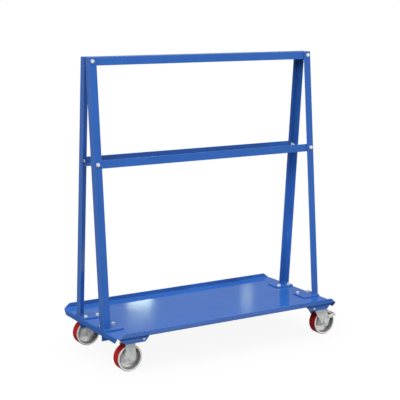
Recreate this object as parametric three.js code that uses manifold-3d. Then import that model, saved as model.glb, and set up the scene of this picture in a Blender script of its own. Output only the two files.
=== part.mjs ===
// Sheet goods cart: a lipped steel deck on two rigid and two braked swivel casters,
// with an A-shaped rack of bolted angle iron that sheets lean against from both sides.
// Millimetres, +Z up, X along the deck, origin on the floor in the middle of the footprint.
import * as THREE from 'three';
import { mergeVertices } from 'three/addons/utils/BufferGeometryUtils.js';
import Module from 'manifold-3d';

const wasm = await Module();
wasm.setup();

// Clearances
const seatGap = 0.3; // between pieces that are bolted, welded or bonded together
const runningGap = 0.4; // between a pin and the bore that turns on it
const hubSideGap = 1; // between a wheel hub and each fork leg

// Deck: one folded sheet, long sides turned up as lips, short ends turned down
const deckLength = 1236;
const deckWidth = 610;
const deckSheet = 3;
const deckBendRadius = 5;
const lipRise = 25.5;
const lipEndSlope = 31;
const endFlangeDrop = 28;
const endFlangeSetback = 15;
const endFlangeShift = 6;
const endFlangeEndSlope = 20;

// Stringers: two folded angles that run under the deck, below the rack
const stringerDepth = 54;
const stringerFlange = 46;
const stringerSheet = 3;
const stringerBendRadius = 5;
const stringerBoltEdge = 34; // from the web's outer face to the foot bolts in the flange

// Caster mounts: folded channels with sloped flange ends, one at each corner
const mountSheet = 5;
const mountBendRadius = 8;
const mountLength = 146;
const mountWidth = 138;
const mountDrop = 28;
const mountEndSlope = 21;
const mountEdgeInset = 10;
const rigidMountEndInset = 90;
const swivelMountEndInset = 103;

// Rack: equal angle iron
const angleWidth = 38;
const angleThickness = 4;
const angleRootRadius = 4;
const rackHeight = 1432;
const rackFootSpread = 298;
const ridgeGap = 2;
const midRailHeight = 946;

// Foot plates under the rack's legs
const footPlateSize = 102;
const footPlateThickness = 6;
const footPlateCorner = 10;
const footPlateOverhang = 19;
const footBoltEdge = 20;
const footBoltSpacing = 62;
const railBoltInset = 17;

// Bolts that hold the rails to the legs, and the holes of the foot bolts
const boltRadius = 5;
const boltHeadRadius = 9.5;
const boltHeadHeight = 6.5;
const boltWasherRadius = 11;
const boltWasherThickness = 2;
const boltNutHeight = 8;
const boltTail = 12;

// Wheels
const wheelRadius = 63.5;
const wheelWidth = 51;
const treadThickness = 3.5;
const treadRounding = 1;
const treadFacets = 44;
const rimEdge = 3; // width of the rim's edge on each side of the tread
const rimEdgeDrop = 1.2; // from the rolling face down to that edge
const rimChamfer = 2.4;
const rimThickness = 5;
const rimFlare = 2.5;
const webThickness = 9;
const webFillet = 4;
const hubRadius = 19;
const hubLength = 54;
const coreFacets = 28;
const bearingWall = 4;
const boreFacets = 16;

// Casters
const casterEndInset = 85;
const casterEdgeInset = 79;
const casterPlateLength = 102;
const casterPlateWidth = 114;
const casterPlateThickness = 6;
const casterPlateCorner = 9;
const casterBoltSpacingX = 76;
const casterBoltSpacingY = 90;
const casterBoltRadius = 5;
const axleRadius = 6;
const axleHexRadius = 11;
const axleHexHeight = 7.5;
const axleTail = 3;
const forkPlate = 5;
const rigidForkWidth = 50;
const rigidForkEndRise = 4;

// Swivel head
const swivelTrail = 53;
const swivelForkEndRadius = 21;
const crownPlate = 5;
const crownGap = 14;
const crownRadius = 37;
const forkLead = 20;
const forkCrownTrail = 44;
const raceBossRadius = 30;
const raceBossHeight = 3;
const ballRaceRadius = 35;
const ballRaceHeight = 11;
const ballRaceBulge = 3;
const kingpinRadius = 8;
const kingpinHeadRadius = 14;
const kingpinHeadHeight = 3;
const kingpinNutRadius = 14;
const kingpinNutHeight = 10;

// Brake pedal: a stamped bow over the trailing side of the tread, on two studs of the fork
const brakePivotRadius = 36;
const brakePivotAngle = THREE.MathUtils.degToRad(52);
const brakeStudRadius = 4;
const brakeStudHeadRadius = 7;
const brakeStudHeadHeight = 2.5;
const brakeBossRadius = 9;
const brakeSheet = 3;
const brakeShoeGap = 5.5;
const brakeShoeLow = THREE.MathUtils.degToRad(25);
const brakeShoeHigh = THREE.MathUtils.degToRad(40);
const brakeTabAngle = THREE.MathUtils.degToRad(31);
const brakeTabReach = 10;
const brakeTabWidth = 46;
const brakeTabCorner = 8;

// Fineness of folds, of wider curves, and of small round holes and pins
const bendSteps = 2;
const curveSteps = 5;
const pinFacets = 10;

// Finishes
const bluePowderCoat = { color: 0x3263b4, roughness: 0.38, metalness: 0.0 };
const zincPlate = { color: 0xb4b7b3, roughness: 0.35, metalness: 0.9 };
const greyCastIron = { color: 0xa4a6a3, roughness: 0.5, metalness: 0.4 };
const redUrethane = { color: 0xa81f26, roughness: 0.42, metalness: 0.0 };
const blackSteel = { color: 0x45474a, roughness: 0.45, metalness: 0.7 };

// Levels and places that follow from the sizes above
const axleHeight = wheelRadius * Math.cos(Math.PI / treadFacets);
const crownUnderside = axleHeight + wheelRadius + crownGap;
const crownTop = crownUnderside + crownPlate;
const ballRaceBottom = crownTop + raceBossHeight + seatGap;
const casterHeight = ballRaceBottom + ballRaceHeight + seatGap + raceBossHeight + casterPlateThickness;
const mountWebBottom = casterHeight + seatGap;
const deckUnderside = mountWebBottom + mountSheet + seatGap;
const deckTop = deckUnderside + deckSheet;
const legFoot = deckTop + footPlateThickness + 2 * seatGap;
const legTopHeel = angleThickness + angleWidth + ridgeGap / 2;
const legFootHeel = rackFootSpread / 2;
const leanSlope = (legFootHeel - legTopHeel) / (rackHeight - legFoot);
const lean = Math.atan(leanSlope);
const topRailHeight = rackHeight - (angleWidth / 2) * Math.cos(lean);
const footPlateX = (deckLength - footPlateSize) / 2;
const footPlateY = legFootHeel + footPlateOverhang - footPlateSize / 2;
const footBoltY = legFootHeel + footPlateOverhang - footPlateSize + footBoltEdge;
const stringerWebY = footBoltY + stringerBoltEdge;
const casterX = deckLength / 2 - casterEndInset;
const casterY = deckWidth / 2 - casterEdgeInset;
const mountY = deckWidth / 2 - mountEdgeInset - mountWidth / 2;
const forkInner = hubLength / 2 + hubSideGap;
const forkOuter = forkInner + forkPlate;
const rimRadius = wheelRadius - treadThickness - seatGap;
const bearingRadius = axleRadius + runningGap + bearingWall;
const shoeInner = wheelRadius + brakeShoeGap;
const shoeOuter = shoeInner + brakeSheet;
const brakeArmInner = forkOuter + runningGap;
const brakeArmOuter = brakeArmInner + brakeSheet;
const brakeReach = shoeOuter * Math.cos(brakeTabAngle) + brakeTabReach;
const footprintCentre = (casterX + swivelTrail + brakeReach - deckLength / 2) / 2;

// Frames that turn a drawn outline's third axis along X, Y or Z
const axisX = new THREE.Vector3(1, 0, 0);
const axisY = new THREE.Vector3(0, 1, 0);
const axisZ = new THREE.Vector3(0, 0, 1);
const alongX = new THREE.Matrix4().makeBasis(axisY, axisZ, axisX);
const alongY = new THREE.Matrix4().makeBasis(axisX, axisZ, axisY.clone().negate());
const alongZ = new THREE.Matrix4();

// Solids from three.js geometry, and back
function solid(geometry) {
  const bare = geometry.clone();
  bare.deleteAttribute('normal');
  bare.deleteAttribute('uv');
  const welded = mergeVertices(bare);
  return new wasm.Manifold(new wasm.Mesh({
    numProp: 3,
    vertProperties: new Float32Array(welded.attributes.position.array),
    triVerts: new Uint32Array(welded.index.array),
  }));
}

function geometryOf(body) {
  const mesh = body.getMesh();
  const geometry = new THREE.BufferGeometry();
  geometry.setAttribute('position', new THREE.BufferAttribute(mesh.vertProperties, 3));
  geometry.setIndex(new THREE.BufferAttribute(mesh.triVerts, 1));
  geometry.computeVertexNormals();
  return geometry;
}

function union(bodies) {
  return bodies.reduce((whole, body) => whole.add(body));
}

function cut(body, cutters) {
  return cutters.reduce((rest, cutter) => rest.subtract(cutter), body);
}

// An outline drawn in its own plane, given a depth that is centred on that plane
function prism(outline, depth, frame, x = 0, y = 0, z = 0) {
  const geometry = new THREE.ExtrudeGeometry(outline, {
    depth,
    bevelEnabled: false,
    curveSegments: outline.arcSteps ?? bendSteps,
  });
  geometry.translate(0, 0, -depth / 2);
  geometry.applyMatrix4(frame);
  geometry.translate(x, y, z);
  return solid(geometry);
}

// A round or six-sided pin along Y between two stations, and the same along Z
function pinY(radius, from, to, sides = pinFacets, x = 0, z = 0) {
  const geometry = new THREE.CylinderGeometry(radius, radius, to - from, sides);
  geometry.translate(x, (from + to) / 2, z);
  return solid(geometry);
}

function pinZ(radius, from, to, sides = pinFacets, x = 0, y = 0) {
  const geometry = new THREE.CylinderGeometry(radius, radius, to - from, sides);
  geometry.rotateX(Math.PI / 2);
  geometry.translate(x, y, (from + to) / 2);
  return solid(geometry);
}

// A ring or wheel turned about Y, with a flat side down
function turned(profile, facets) {
  const points = profile.map(([radius, station]) => new THREE.Vector2(radius, station));
  points.push(points[0].clone());
  return solid(new THREE.LatheGeometry(points, facets, Math.PI / facets));
}

function polygon(corners) {
  return new THREE.Shape(corners.map(([u, v]) => new THREE.Vector2(u, v)));
}

// Corner radius of a small bore whose flats lie at this radius, so that a pin can turn in it
function boreReach(radius) {
  return radius / Math.cos(Math.PI / pinFacets);
}

// A round hole in an outline; its flat sides stay the full radius from the middle
function roundHole(u, v, radius) {
  const reach = boreReach(radius);
  const steps = Array.from({ length: pinFacets }, (_, i) => (2 * Math.PI * i) / pinFacets);
  return new THREE.Path(steps.map((angle) => (
    new THREE.Vector2(u + reach * Math.cos(angle), v + reach * Math.sin(angle)))));
}

function roundedRectangle(width, height, corner) {
  const outline = new THREE.Shape();
  const u = width / 2 - corner;
  const v = height / 2 - corner;
  outline.absarc(u, v, corner, 0, Math.PI / 2);
  outline.absarc(-u, v, corner, Math.PI / 2, Math.PI);
  outline.absarc(-u, -v, corner, Math.PI, 1.5 * Math.PI);
  outline.absarc(u, -v, corner, 1.5 * Math.PI, 2 * Math.PI);
  outline.closePath();
  return outline;
}

// Section of a folded sheet, from the corners of its outer face; every fold is square
function foldedSheet(outerCorners, sheet, bendRadius) {
  const corners = outerCorners.map(([u, v]) => new THREE.Vector2(u, v));
  const runs = corners.slice(1).map((corner, i) => corner.clone().sub(corners[i]).normalize());
  const turn = Math.sign(runs[0].cross(runs[1]));
  const inward = runs.map((run) => new THREE.Vector2(-run.y, run.x).multiplyScalar(turn));
  const bends = corners.slice(1, -1).map((corner, i) => {
    const centre = corner.clone().addScaledVector(inward[i], bendRadius);
    centre.addScaledVector(inward[i + 1], bendRadius);
    const start = Math.atan2(-inward[i].y, -inward[i].x);
    return { centre, start, end: start + turn * Math.PI / 2 };
  });
  const first = corners[0];
  const last = corners[corners.length - 1];
  const firstInner = first.clone().addScaledVector(inward[0], sheet);
  const outline = new THREE.Shape();
  outline.moveTo(firstInner.x, firstInner.y);
  outline.lineTo(first.x, first.y);
  for (const { centre, start, end } of bends) {
    outline.absarc(centre.x, centre.y, bendRadius, start, end, turn < 0);
  }
  outline.lineTo(last.x, last.y);
  const lastInner = last.clone().addScaledVector(inward[inward.length - 1], sheet);
  outline.lineTo(lastInner.x, lastInner.y);
  for (const { centre, start, end } of bends.reverse()) {
    outline.absarc(centre.x, centre.y, bendRadius - sheet, end, start, turn > 0);
  }
  outline.closePath();
  return outline;
}

// Section of angle iron with its heel at the origin, and its flanges along the given signs
function angleSection(uSign, vSign) {
  const root = angleThickness + angleRootRadius;
  const section = new THREE.Shape();
  section.moveTo(0, 0);
  section.lineTo(uSign * angleWidth, 0);
  section.lineTo(uSign * angleWidth, vSign * angleThickness);
  section.lineTo(uSign * root, vSign * angleThickness);
  section.quadraticCurveTo(
    uSign * angleThickness, vSign * angleThickness, uSign * angleThickness, vSign * root);
  section.lineTo(uSign * angleThickness, vSign * angleWidth);
  section.lineTo(0, vSign * angleWidth);
  section.closePath();
  return section;
}

function addPiece(group, name, body, finish) {
  const mesh = new THREE.Mesh(geometryOf(body), new THREE.MeshStandardMaterial(finish));
  mesh.name = name;
  group.add(mesh);
  return mesh;
}

const ends = [
  { endName: 'left', endSign: -1 },
  { endName: 'right', endSign: 1 },
];
const sides = [
  { sideName: 'front', sideSign: -1 },
  { sideName: 'back', sideSign: 1 },
];
const corners = sides.flatMap((side) => ends.map((end) => ({ ...side, ...end })));

// Deck and what stiffens it
const footBoltXs = [-footBoltSpacing / 2, footBoltSpacing / 2];

function footBoltHoles(from, to) {
  const radius = boltRadius + runningGap;
  return corners.flatMap(({ sideSign, endSign }) => footBoltXs.map((offset) => (
    pinZ(radius, from, to, pinFacets, endSign * footPlateX + offset, sideSign * footBoltY))));
}

function deckBody() {
  const halfWidth = deckWidth / 2;
  const halfLength = deckLength / 2;
  const floorEnd = halfLength - deckBendRadius;
  const trayFolds = foldedSheet(
    [[-halfWidth, lipRise], [-halfWidth, 0], [halfWidth, 0], [halfWidth, lipRise]],
    deckSheet, deckBendRadius);
  const traySide = polygon([
    [-floorEnd, -deckSheet], [floorEnd, -deckSheet], [floorEnd, deckSheet],
    [floorEnd - lipEndSlope, lipRise + deckSheet], [lipEndSlope - floorEnd, lipRise + deckSheet],
    [-floorEnd, deckSheet]]);
  const tray = prism(trayFolds, deckLength, alongX).intersect(prism(traySide, deckWidth * 2, alongY));
  const flangeBottom = deckSheet - endFlangeDrop;
  const flangeTopHalf = halfWidth - endFlangeSetback;
  const flangeBottomHalf = flangeTopHalf - endFlangeEndSlope;
  const flangeOutline = polygon([
    [-flangeTopHalf, deckSheet], [-flangeTopHalf, -deckSheet], [-flangeBottomHalf, flangeBottom],
    [flangeBottomHalf, flangeBottom], [flangeTopHalf, -deckSheet], [flangeTopHalf, deckSheet]]);
  const flanges = ends.map(({ endSign }) => {
    const floorOverlap = endSign * (floorEnd - deckBendRadius);
    const folds = foldedSheet(
      [[floorOverlap, deckSheet], [endSign * halfLength, deckSheet], [endSign * halfLength, flangeBottom]],
      deckSheet, deckBendRadius);
    const shift = -endSign * endFlangeShift;
    return prism(folds, deckWidth, alongY).intersect(prism(flangeOutline, deckLength * 2, alongX, 0, shift));
  });
  return cut(union([tray, ...flanges]), footBoltHoles(-deckSheet, 2 * deckSheet));
}

function stringerBody(sideSign) {
  const web = sideSign * stringerWebY;
  const toe = web - sideSign * stringerFlange;
  const folds = foldedSheet(
    [[toe, 0], [web, 0], [web, -stringerDepth]], stringerSheet, stringerBendRadius);
  const length = deckLength - 2 * (deckBendRadius + seatGap);
  return cut(prism(folds, length, alongX), footBoltHoles(-2 * stringerSheet, stringerSheet));
}

function mountBody() {
  const webTop = mountWebBottom + mountSheet;
  const flangeBottom = webTop - mountDrop;
  const halfLength = mountLength / 2;
  const halfWidth = mountWidth / 2;
  const folds = foldedSheet(
    [[-halfWidth, flangeBottom], [-halfWidth, webTop], [halfWidth, webTop], [halfWidth, flangeBottom]],
    mountSheet, mountBendRadius);
  const outline = polygon([
    [-halfLength, webTop], [-halfLength, mountWebBottom], [mountEndSlope - halfLength, flangeBottom],
    [halfLength - mountEndSlope, flangeBottom], [halfLength, mountWebBottom], [halfLength, webTop]]);
  return prism(folds, mountLength, alongX).intersect(prism(outline, mountWidth * 2, alongY));
}

// Rack
function heelAt(height) {
  return legFootHeel - (height - legFoot) * leanSlope;
}

const legWallAlongBolt = angleThickness * Math.cos(lean);
const railFace = legWallAlongBolt + seatGap;
const boltGrip = railFace + angleThickness;
const railBoltX = deckLength / 2 - railBoltInset;
const railLength = deckLength - 2 * (angleThickness + angleRootRadius + seatGap);
const railHoleRadius = boltRadius + runningGap;

// Place of a rail on the leaning face of the legs, with its bolts at the place's origin
function railPlace(sideSign, height) {
  const place = new THREE.Group();
  place.position.set(0, sideSign * heelAt(height), height);
  place.rotation.x = sideSign * lean;
  place.updateMatrix();
  return place;
}

function railHole(x) {
  return pinY(railHoleRadius, -2 * boltGrip, 2 * boltGrip, pinFacets, x);
}

function legBody(sideSign, endSign) {
  const height = rackHeight - legFoot;
  const geometry = new THREE.ExtrudeGeometry(angleSection(-endSign, -sideSign), {
    depth: height,
    bevelEnabled: false,
    curveSegments: 2 * bendSteps,
  });
  geometry.applyMatrix4(new THREE.Matrix4().makeShear(0, 0, 0, 0, 0, -sideSign * leanSlope));
  geometry.translate(endSign * deckLength / 2, sideSign * legFootHeel, legFoot);
  const holes = [midRailHeight, topRailHeight].map((level) => {
    const drill = geometryOf(railHole(endSign * railBoltX));
    return solid(drill.applyMatrix4(railPlace(sideSign, level).matrix));
  });
  return cut(solid(geometry), holes);
}

function railBody(sideSign, flangeAtTop) {
  const heel = flangeAtTop ? angleWidth / 2 : -angleWidth / 2;
  const section = angleSection(-sideSign, flangeAtTop ? -1 : 1);
  const bar = prism(section, railLength, alongX, 0, -sideSign * railFace, heel);
  return cut(bar, ends.map(({ endSign }) => railHole(endSign * railBoltX)));
}

// A hexagon bolt along +Y with its washer on the plane Y = 0, and its nut past the grip
function railBoltBody() {
  const washerTop = -seatGap - boltWasherThickness;
  const nutStart = boltGrip + seatGap;
  const nutEnd = nutStart + boltNutHeight;
  return union([
    pinY(boltWasherRadius, washerTop, -seatGap, 2 * pinFacets),
    pinY(boltHeadRadius, washerTop - boltHeadHeight, washerTop, 6),
    pinY(boltRadius, washerTop - boltHeadHeight / 2, nutEnd + boltTail),
    pinY(boltHeadRadius, nutStart, nutEnd, 6),
  ]);
}

function footPlateBody(sideSign) {
  const outline = roundedRectangle(footPlateSize, footPlateSize, footPlateCorner);
  for (const offset of footBoltXs) {
    outline.holes.push(roundHole(offset, sideSign * (footBoltY - footPlateY), boltRadius + runningGap));
  }
  return prism(outline, footPlateThickness, alongZ);
}

// Tread in the rim's groove, with rounded edges
function treadBody() {
  const half = wheelWidth / 2 - rimEdge - seatGap;
  const flat = half - treadRounding;
  const bond = rimRadius + seatGap;
  const side = wheelRadius - treadRounding;
  return turned([
    [bond, -half], [side, -half], [wheelRadius, -flat],
    [wheelRadius, flat], [side, half], [bond, half],
  ], treadFacets);
}

// Dished core: a deep rim with a groove for the tread, a thin web in the middle plane and a long hub
function coreBody() {
  const rimHalf = wheelWidth / 2;
  const grooveHalf = rimHalf - rimEdge;
  const rimTop = wheelRadius - rimEdgeDrop;
  const webHalf = webThickness / 2;
  const hubHalf = hubLength / 2;
  const rimInner = rimRadius - rimThickness;
  const bore = bearingRadius + seatGap;
  const lip = rimInner - rimFlare;
  const lowerFace = [
    [bore, -hubHalf], [hubRadius, -hubHalf],
    [hubRadius, -webHalf - webFillet], [hubRadius + webFillet, -webHalf],
    [lip - webFillet, -webHalf], [lip, -webHalf - webFillet], [rimInner, -rimHalf],
    [rimTop - rimChamfer, -rimHalf], [rimTop, rimChamfer - rimHalf],
    [rimTop, -grooveHalf], [rimRadius, -grooveHalf]];
  const upperFace = lowerFace.map(([radius, station]) => [radius, -station]).reverse();
  return turned([...lowerFace, ...upperFace], coreFacets);
}

function bearingBody() {
  const half = hubLength / 2;
  const bore = axleRadius + runningGap;
  return turned([[bore, -half], [bearingRadius, -half], [bearingRadius, half], [bore, half]], boreFacets);
}

function axleBody() {
  const seat = forkOuter + seatGap;
  const headEnd = seat + axleHexHeight;
  return union([
    pinY(axleRadius, -seat - axleHexHeight / 2, headEnd + axleTail, boreFacets),
    pinY(axleHexRadius, -headEnd, -seat, 6),
    pinY(axleHexRadius, seat, headEnd, 6),
  ]);
}

function addWheel(caster, name, x) {
  const wheel = new THREE.Group();
  wheel.position.set(x, 0, axleHeight);
  addPiece(wheel, `${name}_tread`, treadBody(), redUrethane);
  addPiece(wheel, `${name}_wheel_core`, coreBody(), greyCastIron);
  addPiece(wheel, `${name}_bearing`, bearingBody(), blackSteel);
  addPiece(wheel, `${name}_axle`, axleBody(), zincPlate);
  caster.add(wheel);
}

// Casters
function casterPlate(topHeight) {
  const outline = roundedRectangle(casterPlateLength, casterPlateWidth, casterPlateCorner);
  for (const { sideSign, endSign } of corners) {
    const x = endSign * casterBoltSpacingX / 2;
    const y = sideSign * casterBoltSpacingY / 2;
    outline.holes.push(roundHole(x, y, casterBoltRadius + runningGap));
  }
  return prism(outline, casterPlateThickness, alongZ, 0, 0, topHeight - casterPlateThickness / 2);
}

function bothLegs(outline) {
  const middle = (forkInner + forkOuter) / 2;
  return sides.map(({ sideSign }) => prism(outline, forkPlate, alongY, 0, sideSign * middle));
}

function rigidForkBody() {
  const legTop = casterHeight - casterPlateThickness / 2;
  const outline = new THREE.Shape();
  outline.arcSteps = curveSteps;
  outline.moveTo(rigidForkWidth / 2, legTop);
  outline.lineTo(-rigidForkWidth / 2, legTop);
  outline.absarc(0, axleHeight + rigidForkEndRise, rigidForkWidth / 2, Math.PI, 2 * Math.PI);
  outline.closePath();
  outline.holes.push(roundHole(0, axleHeight, axleRadius + runningGap));
  return union([casterPlate(casterHeight), ...bothLegs(outline)]);
}

function swivelPlateBody() {
  const plateBottom = casterHeight - casterPlateThickness;
  const recess = casterHeight - kingpinHeadHeight - seatGap;
  const boss = pinZ(raceBossRadius, plateBottom - raceBossHeight, casterHeight - seatGap, 2 * pinFacets);
  return cut(union([casterPlate(casterHeight), boss]), [
    pinZ(kingpinRadius + seatGap, 0, 2 * casterHeight),
    pinZ(kingpinHeadRadius + seatGap, recess, 2 * casterHeight, 2 * pinFacets),
  ]);
}

function ballRaceBody() {
  const bore = kingpinRadius + 2 * runningGap;
  const half = ballRaceHeight / 2;
  const ring = [
    [bore, -half], [ballRaceRadius - ballRaceBulge, -half], [ballRaceRadius, -half / 3],
    [ballRaceRadius, half / 3], [ballRaceRadius - ballRaceBulge, half], [bore, half]];
  const points = [...ring, ring[0]].map(([radius, station]) => new THREE.Vector2(radius, station));
  const geometry = new THREE.LatheGeometry(points, 2 * pinFacets);
  geometry.rotateX(Math.PI / 2);
  geometry.translate(0, 0, ballRaceBottom + half);
  return solid(geometry);
}

function kingpinBody() {
  const nutTop = crownUnderside - runningGap;
  return union([
    pinZ(kingpinHeadRadius, casterHeight - kingpinHeadHeight, casterHeight, 2 * pinFacets),
    pinZ(kingpinRadius, nutTop - kingpinNutHeight, casterHeight - kingpinHeadHeight / 2),
    pinZ(kingpinNutRadius, nutTop - kingpinNutHeight, nutTop, 6),
  ]);
}

const brakePivotX = brakePivotRadius * Math.cos(brakePivotAngle);
const brakePivotZ = brakePivotRadius * Math.sin(brakePivotAngle);

// Fork of a swivel caster: its legs slant back from the crown to an axle behind the kingpin
function swivelForkBody() {
  const legTop = crownTop - crownPlate / 2;
  const pivotX = swivelTrail + brakePivotX;
  const pivotHeight = axleHeight + brakePivotZ;
  const outline = new THREE.Shape();
  outline.arcSteps = curveSteps;
  outline.moveTo(forkCrownTrail, legTop);
  outline.lineTo(-forkLead, legTop);
  outline.absarc(swivelTrail, axleHeight, swivelForkEndRadius, 1.1 * Math.PI, 2 * Math.PI);
  outline.absarc(pivotX, pivotHeight, brakeBossRadius, 0, 0.6 * Math.PI);
  outline.closePath();
  outline.holes.push(roundHole(swivelTrail, axleHeight, axleRadius + runningGap));
  const crownLength = forkLead + forkCrownTrail;
  const crownMiddle = (forkCrownTrail - forkLead) / 2;
  const crown = new THREE.BoxGeometry(crownLength, 2 * forkOuter, crownPlate);
  crown.translate(crownMiddle, 0, crownTop - crownPlate / 2);
  const studSeat = brakeArmOuter + runningGap;
  const studs = sides.flatMap(({ sideSign }) => {
    const stations = [forkOuter - forkPlate / 2, studSeat, studSeat + brakeStudHeadHeight];
    const [root, seat, end] = sideSign > 0 ? stations : stations.map((station) => -station);
    const shank = [Math.min(root, seat), Math.max(root, seat)];
    const head = [Math.min(seat, end), Math.max(seat, end)];
    return [
      pinY(brakeStudRadius, shank[0] - runningGap, shank[1] + runningGap, pinFacets, pivotX, pivotHeight),
      pinY(brakeStudHeadRadius, head[0], head[1], pinFacets, pivotX, pivotHeight),
    ];
  });
  const fork = union([
    solid(crown),
    pinZ(crownRadius, crownUnderside, crownTop, 2 * pinFacets),
    pinZ(raceBossRadius, crownTop - crownPlate / 2, crownTop + raceBossHeight, 2 * pinFacets),
    ...bothLegs(outline),
    ...studs,
  ]);
  return fork.subtract(pinZ(boreReach(kingpinRadius + runningGap), 0, 2 * casterHeight));
}

// Pedal drawn about the axle: two arms on the studs, a bow along the tread and a foot tab
function brakePedalBody() {
  const arm = new THREE.Shape();
  arm.arcSteps = curveSteps;
  const towardsLow = brakeShoeLow - Math.PI / 2;
  const towardsHigh = brakeShoeHigh + Math.PI / 2;
  arm.absarc(brakePivotX, brakePivotZ, brakeBossRadius, towardsHigh, towardsLow + 2 * Math.PI);
  arm.absarc(0, 0, shoeOuter, brakeShoeLow, brakeShoeHigh);
  arm.closePath();
  arm.holes.push(roundHole(brakePivotX, brakePivotZ, brakeStudRadius + runningGap));
  const armMiddle = (brakeArmInner + brakeArmOuter) / 2;
  const arms = sides.map(({ sideSign }) => prism(arm, brakeSheet, alongY, 0, sideSign * armMiddle));
  const bow = new THREE.Shape();
  bow.arcSteps = curveSteps;
  bow.absarc(0, 0, shoeOuter, brakeShoeLow, brakeShoeHigh);
  bow.absarc(0, 0, shoeInner, brakeShoeHigh, brakeShoeLow, true);
  bow.closePath();
  const tabHeight = shoeOuter * Math.sin(brakeTabAngle);
  const tabLength = brakeReach - shoeInner * Math.cos(brakeTabAngle);
  const tabMiddle = brakeReach - tabLength / 2;
  const tab = roundedRectangle(tabLength + brakeTabCorner, brakeTabWidth, brakeTabCorner);
  const roundedTab = prism(tab, brakeSheet, alongZ, tabMiddle - brakeTabCorner / 2, 0, tabHeight);
  const insideBow = new THREE.Shape();
  insideBow.absarc(0, 0, shoeInner, 0, 2 * Math.PI);
  insideBow.arcSteps = 4 * curveSteps;
  return union([
    ...arms,
    prism(bow, 2 * brakeArmOuter, alongY),
    roundedTab.subtract(prism(insideBow, 2 * brakeTabWidth, alongY)),
  ]);
}

function addRigidCaster(caster, name) {
  addPiece(caster, `${name}_fork`, rigidForkBody(), zincPlate);
  addWheel(caster, name, 0);
}

function addSwivelCaster(caster, name) {
  addPiece(caster, `${name}_top_plate`, swivelPlateBody(), zincPlate);
  addPiece(caster, `${name}_kingpin`, kingpinBody(), zincPlate);
  addPiece(caster, `${name}_ball_race`, ballRaceBody(), zincPlate);
  addPiece(caster, `${name}_fork`, swivelForkBody(), zincPlate);
  addWheel(caster, name, swivelTrail);
  const pedal = addPiece(caster, `${name}_brake_pedal`, brakePedalBody(), zincPlate);
  pedal.position.set(swivelTrail, 0, axleHeight);
}

// The whole cart
const cart = new THREE.Group();
cart.position.x = -footprintCentre;

addPiece(cart, 'deck', deckBody(), bluePowderCoat).position.z = deckUnderside;

for (const { sideName, sideSign } of sides) {
  const stringer = addPiece(cart, `stringer_${sideName}`, stringerBody(sideSign), bluePowderCoat);
  stringer.position.z = deckUnderside - seatGap;
  for (const [railName, height] of [['mid', midRailHeight], ['top', topRailHeight]]) {
    const place = railPlace(sideSign, height);
    addPiece(place, `${railName}_rail_${sideName}`, railBody(sideSign, railName === 'top'), bluePowderCoat);
    for (const { endName, endSign } of ends) {
      const bolt = addPiece(place, `${railName}_bolt_${sideName}_${endName}`, railBoltBody(), zincPlate);
      bolt.position.x = endSign * railBoltX;
      bolt.rotation.z = sideSign > 0 ? Math.PI : 0;
    }
    cart.add(place);
  }
}

for (const { sideName, sideSign, endName, endSign } of corners) {
  const corner = `${sideName}_${endName}`;
  addPiece(cart, `leg_${corner}`, legBody(sideSign, endSign), bluePowderCoat);
  const foot = addPiece(cart, `foot_plate_${corner}`, footPlateBody(sideSign), bluePowderCoat);
  foot.position.set(
    endSign * footPlateX, sideSign * footPlateY, deckTop + seatGap + footPlateThickness / 2);
  const mount = addPiece(cart, `caster_mount_${corner}`, mountBody(), bluePowderCoat);
  const mountEndInset = endName === 'left' ? rigidMountEndInset : swivelMountEndInset;
  mount.position.set(endSign * (deckLength / 2 - mountEndInset), sideSign * mountY, 0);
  const caster = new THREE.Group();
  caster.position.set(endSign * casterX, sideSign * casterY, 0);
  if (endName === 'left') {
    addRigidCaster(caster, corner);
  } else {
    addSwivelCaster(caster, corner);
  }
  cart.add(caster);
}

export default cart;
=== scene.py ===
"""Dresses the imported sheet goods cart: finishes, rounded edges, wheels, fasteners, welds, light and camera.

Metres, +Z up, X along the deck, origin on the floor in the middle of the footprint.
"""

import logging
import math
from dataclasses import asdict, dataclass, field, fields
from enum import Enum
from typing import Any

import bmesh
import bpy
from mathutils import Matrix, Vector


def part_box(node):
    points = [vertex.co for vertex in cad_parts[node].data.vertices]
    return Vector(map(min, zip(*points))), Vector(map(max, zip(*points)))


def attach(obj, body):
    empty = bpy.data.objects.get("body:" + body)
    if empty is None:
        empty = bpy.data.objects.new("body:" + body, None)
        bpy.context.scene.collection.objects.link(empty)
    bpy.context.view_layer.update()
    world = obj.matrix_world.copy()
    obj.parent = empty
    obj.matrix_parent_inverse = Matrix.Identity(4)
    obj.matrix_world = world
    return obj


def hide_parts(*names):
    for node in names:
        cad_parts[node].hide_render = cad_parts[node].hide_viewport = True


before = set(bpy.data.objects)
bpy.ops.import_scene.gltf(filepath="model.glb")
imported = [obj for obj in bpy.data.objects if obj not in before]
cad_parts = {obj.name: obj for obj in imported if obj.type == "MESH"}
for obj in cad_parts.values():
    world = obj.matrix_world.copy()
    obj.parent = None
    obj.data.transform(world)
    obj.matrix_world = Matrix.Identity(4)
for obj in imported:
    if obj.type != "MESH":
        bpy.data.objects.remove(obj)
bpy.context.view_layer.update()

MM = 0.001
FRAME_BODY = "frame"
EDGE_ATTRIBUTE = "edge"
AIM_ATTRIBUTE = "aim"
# Face attribute for painted shade on a wheel core: the rim's inner side, and more lightly its outer crest
PAINTED_SHADE_ATTRIBUTE = "painted_rim_shade"
SLOT_KEY = "slot"
NOISE_MIDDLE = (0.3, 0.7)
TURNED_CREASE = math.radians(35)
FASTENER_CREASE = math.radians(28)
RIPPLE_SHARE = 0.8
UP = Vector((0.0, 0.0, 1.0))
WHITE = (1.0, 1.0, 1.0)
COOL_WHITE = (0.97, 0.99, 1.0)
LAMP_TINT = (0.82, 1.0, 0.76)
# Radius and station of each corner of a grease fitting's profile, in millimetres
GREASE_FITTING = (
    (0.2, 0.0), (4.5, 0.0), (4.5, 6.0), (3.2, 7.0), (2.6, 9.5),
    (3.3, 11.0), (3.0, 12.6), (1.8, 13.6), (0.2, 13.6))

log = logging.getLogger("sheet_goods_cart")

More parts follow.
